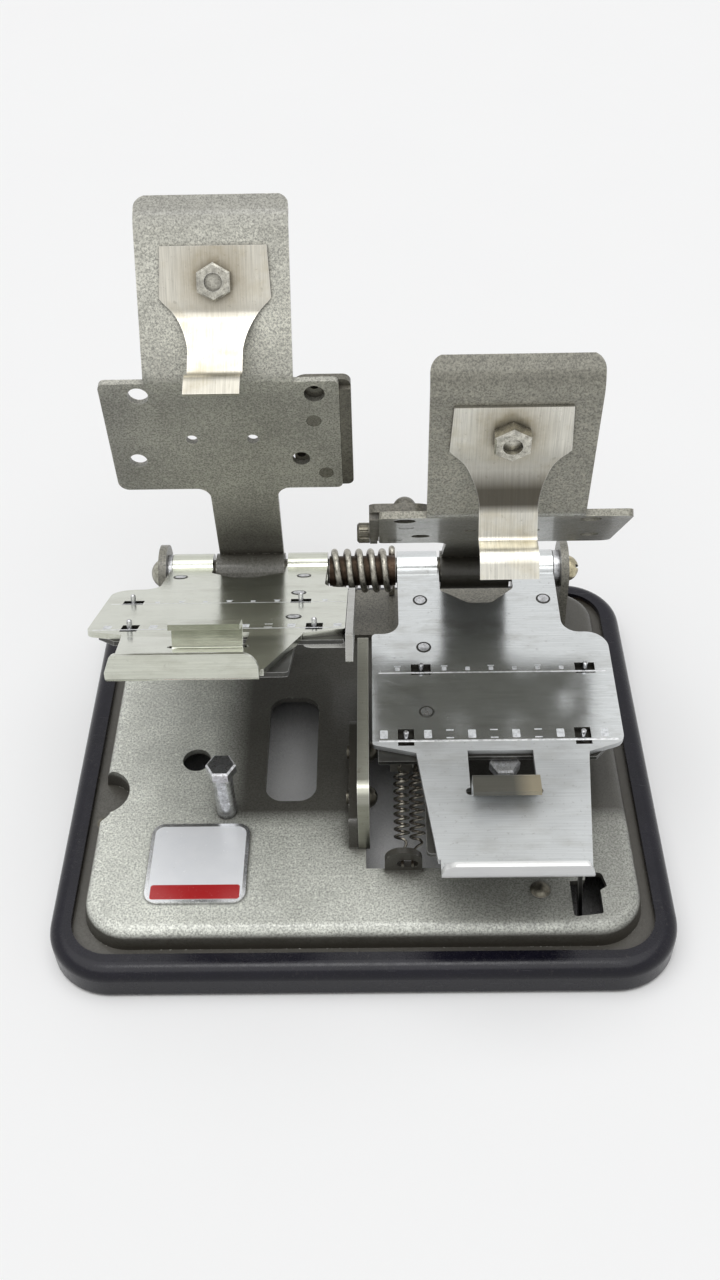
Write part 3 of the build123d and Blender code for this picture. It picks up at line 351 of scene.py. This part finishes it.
def satin_steel(name, where, tone=(0.76, 0.785, 0.79), dull=0.17, stain=0.3, satin_front=False):
    """Brushed bright steel with fine grain, scratches, finger stains and painted shade in its
    corners.

    With satin_front it is duller past the front line, with a painted highlight on its finger
    lip and a painted reflection on the lip of its tongue.
    """
    f = Finish(name)
    at = f.place(where)
    grain = f.noise(f.stretch(at, (0.10, 5.0, 5.0)), 1.0, 3, 0.6)
    cloud = f.noise(at, 0.13, 4, 0.65)
    base = f.mix(f.span(grain, 0.3, 0.7), dimmed(tone, 0.84), tone)
    smear = f.span(f.noise(f.stretch(at, (0.12, 0.30, 0.3)), 1.0, 4, 0.6), 0.50, 0.72)
    base = f.mix(f.both(smear, 0.45), base, tinted(tone, (0.58, 0.56, 0.52)))
    spots = f.span(f.noise(at, 1.1, 4, 0.75), 0.60, 0.70)
    base = f.mix(f.both(spots, stain), base, (0.12, 0.105, 0.080))
    marks = f.math("MAXIMUM", f.scratches(at, 24, 3.0, 0.32), f.scratches(at, -57, 2.2, 0.31))
    base = f.mix(f.both(marks, 0.12), base, (0.86, 0.86, 0.84))
    # painted shade in corners and under other pieces
    base = f.mix(f.both(f.crevices(2.2), 0.92), base, (0.024, 0.020, 0.015))
    base = f.mix(f.both(f.edges(0.22), 0.4), base, (0.94, 0.94, 0.92))
    rough = f.math("ADD", f.span(cloud, 0.3, 0.7, dull - 0.04, dull + 0.08), f.both(spots, 0.06))
    metal = 0.96
    if satin_front:
        line = FRONT_ROW[0]
        front = f.past(at, Y, 0.1 - line, -0.2 - line)
        rough = f.math("ADD", rough, f.both(front, 0.20))
        metal = f.span(front, 0.0, 1.0, metal, 0.50)
        base = f.mix(f.both(front, 0.14), base, (0.05, 0.05, 0.06))
        # painted highlight: the finger lip made near-white
        base = f.mix(f.past(at, Y, 0.3 - LIP_FACE, -0.3 - LIP_FACE, 0.7), base, (0.98, 0.98, 0.97))
        forward = f.both(f.past(at, Y, 0.5 - TONGUE_FROM, -0.5 - TONGUE_FROM),
                         f.past(at, Y, -0.5 - TONGUE_TO, 0.5 - TONGUE_TO))
        tongue = f.both(f.past(at, Z, TONGUE_TOP - 0.4, TONGUE_TOP + 0.4), forward)
        # painted reflection on the tongue's lip: dark, turning golden away from the cut
        browned = f.mix(f.past(at, X, *TONGUE_REFLECTION_SPLIT), (0.060, 0.055, 0.036), (0.34, 0.29, 0.19))
        base = f.mix(f.both(tongue, 0.90), base, browned)
    height = f.math("ADD", grain, f.both(marks, -0.7))
    return f.shade(color=base, roughness=rough, metallic=metal, normal=f.bump(height, 0.010, 0.30))


def leaf_steel(name, where, tone, painted_dark_bands, band_spares_tip):
    """Spring steel brushed along its length and darker round its nut.

    Each band (start, end, share) darkens it by that share along its height, as painted shade and
    painted reflection.
    """
    f = Finish(name)
    at = f.place(where)
    grain = f.noise(f.stretch(at, (5.0, 0.12, 0.12)), 1.0, 3, 0.65)
    cloud = f.noise(at, 0.16, 4, 0.65)
    base = f.mix(f.span(grain, 0.34, 0.66), dimmed(tone, 0.74), tone)
    base = f.mix(f.span(cloud, 0.50, 0.72, 0.0, 0.5), base, tinted(tone, (0.66, 0.60, 0.46)))
    for start, end, share in painted_dark_bands:
        # painted shade and painted reflection, as bands along the leaf's height
        brown = f.past(at, Z, start, end, share)
        if band_spares_tip:
            brown = f.both(brown, f.past(at, Z, *LEAF_TIP))
        base = f.mix(brown, base, (0.050, 0.043, 0.030))
    across = f.math("SUBTRACT", f.axis(at, X), LEAF_U)
    along = f.both(f.math("SUBTRACT", f.axis(at, Z), NUT_HEIGHT[where]), HANDLE_SLOPE)
    from_nut = f.math("SQRT", f.math("ADD", f.both(across, across), f.both(along, along)))
    # darker round the nut, fading out between these distances
    stain = f.both(f.span(from_nut, *NUT_DARKENING), f.span(cloud, 0.25, 0.65, 0.25, 0.75))
    base = f.mix(stain, base, tinted(tone, (0.38, 0.32, 0.22)))
    spots = f.span(f.noise(at, 1.3, 4, 0.75), 0.60, 0.70)
    base = f.mix(f.both(spots, 0.35), base, (0.14, 0.115, 0.075))
    # painted shade in corners and under other pieces
    base = f.mix(f.both(f.crevices(3.5), 0.92), base, (0.034, 0.028, 0.020))
    base = f.mix(f.both(f.edges(0.22), 0.35), base, (0.92, 0.91, 0.87))
    rough = f.span(cloud, 0.3, 0.7, 0.27, 0.36)
    return f.shade(color=base, roughness=rough, metallic=f.span(cloud, 0.3, 0.7, 0.96, 0.84),
                   normal=f.bump(grain, 0.012, 0.35))


def plated(name, tone, dull, shine=0.45):
    """Small turned and plated parts, with painted shade where they meet their seats, rubbed at
    their edges.
    """
    f = Finish(name)
    at = f.place("row")
    cloud = f.noise(at, 0.9, 3, 0.7)
    base = f.mix(f.span(cloud, 0.35, 0.65), tone, dimmed(tone, 0.50))
    spots = f.span(f.noise(at, 3.0, 3, 0.7), 0.56, 0.68)
    base = f.mix(f.both(spots, 0.6), base, (0.10, 0.075, 0.05))
    # painted shade where they meet their seats
    base = f.mix(f.both(f.crevices(1.6), 0.92), base, (0.026, 0.022, 0.016))
    base = f.mix(f.both(f.edges(0.18), shine), base, (0.90, 0.89, 0.86))
    return f.shade(color=base, roughness=f.span(cloud, 0.3, 0.7, dull, dull + 0.14),
                   metallic=1.0, normal=f.bump(f.noise(at, 4.0, 3, 0.6), 0.03, 0.35))


def spring_wire(name, tone, rust):
    """Drawn wire, bright on its outside and browned between the turns."""
    f = Finish(name)
    at = f.place("row")
    cloud = f.noise(at, 1.1, 4, 0.7)
    base = f.mix(f.span(cloud, 0.38, 0.62), tone, dimmed(tone, 0.5))
    brown = f.math("MAXIMUM", f.crevices(2.2), f.span(cloud, 0.60, 0.72))
    base = f.mix(f.both(brown, rust), base, (0.085, 0.048, 0.024))
    rough = f.span(f.noise(at, 1.8, 3, 0.6), 0.3, 0.7, 0.24, 0.45)
    height = f.noise(f.stretch(at, (6.0, 1.0, 1.0)), 1.0, 3, 0.6)
    return f.shade(color=base, roughness=rough, metallic=f.span(brown, 0, 1, 1.0, 0.45),
                   normal=f.bump(height, 0.03, 0.4))


def rounded_field(f, at, centre, half, corner):
    """1 inside a rounded rectangle of the plan, 0 outside."""
    reach, blur = [], 0.04
    for index in (X, Y):
        off = f.math("ABSOLUTE", f.math("SUBTRACT", f.axis(at, index), centre[index]))
        past = f.math("MAXIMUM", f.math("SUBTRACT", off, half[index] - corner), 0.0)
        reach.append(f.both(past, past))
    gap = f.math("SQRT", f.math("ADD", *reach))
    return f.span(gap, corner + blur, corner - blur)


def badge_finish():
    """Bare enamelled plate: off-white field, one plain red band and a bright worn rim."""
    f = Finish("bare_badge")
    at = f.place("row")
    metal = f.mix(f.noise(at, 0.4, 3), (0.60, 0.61, 0.62), (0.78, 0.79, 0.80))
    field = rounded_field(f, at, BADGE_MID, BADGE_HALF, BADGE_R)
    white = f.mix(f.noise(at, 0.5, 3), (0.84, 0.86, 0.89), (0.92, 0.93, 0.95))
    base = f.mix(field, metal, white)
    band = rounded_field(f, at, BAND_MID, BAND_HALF, BAND_R)
    base = f.mix(band, base, (0.46, 0.018, 0.020))
    wear = f.span(f.noise(at, 2.4, 4, 0.7), 0.64, 0.74)
    base = f.mix(f.both(wear, 0.40), base, (0.50, 0.48, 0.44))
    grain = f.noise(at, 1.4, 3, 0.6)
    return f.shade(color=base, roughness=f.span(grain, 0.3, 0.7, 0.16, 0.28),
                   metallic=f.span(field, 0, 1, 0.9, 0.05), normal=f.bump(grain, 0.02, 0.25),
                   coat=0.3, coat_roughness=0.08)


def stamped(name, tone, metallic):
    """A stamped or turned mark, rubbed dull in places."""
    f = Finish(name)
    at = f.place("row")
    rubbed = f.span(f.noise(at, 1.2, 3, 0.7), 0.45, 0.68)
    base = f.mix(rubbed, tone, dimmed(tone, 0.6))
    return f.shade(color=base, roughness=f.span(rubbed, 0, 1, 0.50, 0.34), metallic=metallic,
                   normal=f.bump(f.noise(at, 3.0, 2), 0.02, 0.4))


# ---------------------------------------------------------------- marks on the film stages
def on_plate(where, u, dist, height):
    """A point of a plate, from its distances to the cut, the shaft and above the shaft's axis."""
    side = -1 if where.startswith("left") else 1
    tilt = math.radians(TILT[where])
    y = -dist * math.cos(tilt) + height * math.sin(tilt)
    z = dist * math.sin(tilt) + height * math.cos(tilt)
    return Vector((MID_X + side * u, SHAFT_Y + y, SHAFT_Z + z)) * MM


def piece(name, where, mesh, finish):
    data = bpy.data.meshes.new(name)
    bmesh.ops.recalc_face_normals(mesh, faces=mesh.faces)
    mesh.to_mesh(data)
    mesh.free()
    data.materials.append(finish)
    obj = bpy.data.objects.new(name, data)
    bpy.context.scene.collection.objects.link(obj)
    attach(obj, BODY[where])
    return obj


def raise_outline(mesh, where, outline, slope):
    """A low mark on a plate: an outline of (u, distance) with sloping sides."""
    middle = [sum(p[i] for p in outline) / len(outline) for i in (0, 1)]
    rings = []
    for level, drawn_in in ((MARK_SEAT, 0.0), (MARK_SEAT + MARK_RISE, slope)):
        ring = []
        for u, dist in outline:
            reach = math.hypot(u - middle[0], dist - middle[1])
            keep = 1 - drawn_in / reach
            ring.append(mesh.verts.new(on_plate(where, middle[0] + (u - middle[0]) * keep,
                                                middle[1] + (dist - middle[1]) * keep, level)))
        rings.append(ring)
    mesh.faces.new(rings[0])
    mesh.faces.new(rings[1])
    count = len(outline)
    for i in range(count):
        j = (i + 1) % count
        mesh.faces.new((rings[0][i], rings[0][j], rings[1][j], rings[1][i]))


def block(u, dist, width, depth, corner):
    """Outline of a rectangle with cut corners, about (u, dist)."""
    x, y = width / 2, depth / 2
    return [(u + sx * (x - cx), dist + sy * (y - cy)) for sx, sy, cx, cy in
            ((1, 1, corner, 0), (1, 1, 0, corner), (1, -1, 0, corner), (1, -1, corner, 0),
             (-1, -1, corner, 0), (-1, -1, 0, corner), (-1, 1, 0, corner), (-1, 1, corner, 0))]


def film_marks(where, finish):
    """Frame marks along both film rows, on the side of the line away from the user."""
    mesh = bmesh.new()
    for row, even, odd in ((REAR_ROW, (REAR_SQUARE,), (REAR_SQUARE, REAR_DASH)),
                           (FRONT_ROW, FRONT_BARS, (FRONT_BLOCK,))):
        line, first, pitch, steps = row
        for step in steps:
            for behind, width, depth, corner, slope in odd if step % 2 else even:
                outline = block(first + pitch * step, line - behind, width, depth, corner)
                raise_outline(mesh, where, outline, slope)
    piece(where + "_frame_marks", where, mesh, finish)


def scribed_lines(where, finish):
    """The two fine bright lines along the film rows: beads with a pointed top."""
    mesh = bmesh.new()
    for line, width in ((REAR_ROW[0], REAR_LINE_W), (FRONT_ROW[0], FRONT_LINE_W)):
        profile = ((-width / 2, 0.0), (width / 2, 0.0), (width * 0.1, LINE_RISE))
        near, far = ([mesh.verts.new(on_plate(where, u, line + across, MARK_SEAT + rise))
                      for across, rise in profile] for u in LINE_ENDS)
        for i in range(3):
            j = (i + 1) % 3
            mesh.faces.new((near[i], near[j], far[j], far[i]))
        mesh.faces.new(near)
        mesh.faces.new(far)
    piece(where + "_scribed_lines", where, mesh, finish)


def rivet_rims(where, finish):
    """Turned-over rims round the flush rivets of a stage."""
    mesh = bmesh.new()
    for u, dist in STAGE_RIVETS:
        rings = []
        for i in range(RIM_STEPS):
            turn = math.tau * i / RIM_STEPS
            rings.append([mesh.verts.new(on_plate(where, u + r * math.cos(turn),
                                                  dist + r * math.sin(turn), STAGE_TOP + rise))
                          for r, rise in RIM_PROFILE])
        for i, near in enumerate(rings):
            far = rings[(i + 1) % RIM_STEPS]
            for j in range(len(RIM_PROFILE)):
                k = (j + 1) % len(RIM_PROFILE)
                mesh.faces.new((near[j], near[k], far[k], far[j]))
    obj = piece(where + "_rivet_rims", where, mesh, finish)
    for face in obj.data.polygons:
        face.use_smooth = True


def dress(finish, *names):
    for name in names:
        data = NODES[name].data
        data.materials.clear()
        data.materials.append(finish)


def dress_all():
    # The pan darkens on its rail above RAIL, and towards the deck's right side: painted shade.
    pan_fades = ((Z, *RAIL, 0.97), (X, 30.0, 44.0, 0.45), (X, -30.0, -10.0, 0.12))
    dress(hammer_paint("pan_paint", "row", (0.78, 0.795, 0.72), pan_fades, wear=0.42, pan=True),
          "base_pan")
    # The rear bracket gets a far darker tone than the pan and a wide crevice reach: painted shade
    # under the stages.
    dress(hammer_paint("bracket_paint_shaded", "row", (0.24, 0.23, 0.19), grime_and_shade_reach=12.0),
          "rear_bracket")
    dress(rim_rubber(), "rubber_rim")
    dress(badge_finish(), "badge_plate")
    bright = plated("zinc_plate", (0.72, 0.73, 0.75), 0.24)
    dark = plated("dark_screw", (0.16, 0.15, 0.12), 0.34, shine=0.10)
    dress(bright, "left_stop_bolt", "right_stop_bolt", "hinge_washers", "stop_bolt_nuts")
    dress(plated("shaft_steel", (0.46, 0.45, 0.38), 0.34), "hinge_shaft")
    dress(plated("brass", (0.60, 0.54, 0.37), 0.20), "shaft_end_screw")
    dress(dark, "base_screw", "side_screw", "bracket_rivets", "right_trim_screw",
          "fixed_blade_screws")
    dress(plated("sleeve_brown", (0.10, 0.065, 0.045), 0.42), "spacer_sleeve")
    dress(spring_wire("coil_steel", (0.46, 0.44, 0.38), rust=0.90), "torsion_spring")
    dress(spring_wire("draw_spring_steel", (0.20, 0.19, 0.16), rust=0.8),
          "inner_extension_spring", "outer_extension_spring")
    dress(satin_steel("blade_steel", "row", (0.34, 0.34, 0.29), dull=0.30, stain=0.6),
          "fixed_blade")
    dress(satin_steel("anchor_steel", "row", (0.36, 0.35, 0.31), dull=0.30, stain=0.6),
          "right_spring_anchor")
    for side in ("left", "right"):
        dress_side(side, bright)
    dress(satin_steel("knife_steel", "left_stage", (0.50, 0.50, 0.47), dull=0.24, stain=0.5),
          "left_knife")
    dress(bright, "left_knife_rivets")


def dress_side(side, bright):
    stage, gate = side + "_stage", side + "_gate"
    # The pin plate's near-black tone is painted shade, seen through the stage's windows round the
    # pins.
    dress(satin_steel(side + "_shaded_under_steel", stage, (0.07, 0.07, 0.065), dull=0.34, stain=0.6),
          side + "_pin_plate")
    if side == "left":
        # The left stage's darker, greener tone than the right's is painted reflection.
        dress(satin_steel(stage + "_steel", stage, (0.67, 0.685, 0.60)), side + "_stage_plate")
        # Painted shade on the left leaf: bands darker towards its top and its bottom.
        leaf_tone, painted_dark_bands = (0.76, 0.73, 0.64), ((7.0, 15.0, 0.12), (9.4, 6.4, 0.42))
        # The gate's fades darken it towards the shaft and at the handle's top: painted shade.
        paint, fades = (0.76, 0.75, 0.66), ((Y, -54.0, -44.0, 0.50), (Y, -22.0, -8.0, 0.75),
                                            (Z, 16.0, 18.4, 0.55))
    else:
        dress(satin_steel(stage + "_steel", stage, satin_front=True), side + "_stage_plate")
        # Painted reflection on the right leaf: a dark band low down, stopping short of its tip.
        leaf_tone, painted_dark_bands = (0.76, 0.74, 0.66), ((11.0, 8.0, 0.40), (7.6, 4.8, 0.88))
        # A darker paint tone than the left gate's, and fades towards the shaft and at the handle's
        # top: painted shade.
        paint, fades = (0.50, 0.485, 0.40), ((Y, -50.0, -44.0, 0.58), (Y, -24.0, -14.0, 0.92),
                                             (Z, 16.8, 18.4, 0.42))
    dress(leaf_steel(side + "_leaf_steel", gate, leaf_tone, painted_dark_bands, side == "right"),
          side + "_leaf")
    dress(hammer_paint(gate + "_paint", gate, paint, fades), gate)
    dress(hammer_paint(side + "_edge_paint", gate, (0.15, 0.14, 0.11), wear=0.62),
          side + "_edge_plate", side + "_edge_rivets")
    dress(bright, side + "_film_pins", side + "_stage_rivets")
    dress(plated(side + "_nut_nickel", (0.66, 0.64, 0.56), 0.20), side + "_leaf_nut",
          side + "_leaf_screw")
    film_marks(stage, stamped(side + "_mark_white", (0.80, 0.82, 0.84), metallic=0.1))
    scribed_lines(stage, stamped(side + "_line_bright", (0.88, 0.89, 0.90), metallic=0.6))
    rivet_rims(stage, stamped(side + "_rim_dark", (0.040, 0.040, 0.034), metallic=0.4))


make_camera()
make_world()
make_floor()
make_lamp("key", *KEY_LAMP)
make_lamp("spark", *SPARK_LAMP)
dress_all()

bpy.context.scene.view_settings.view_transform = "Standard"
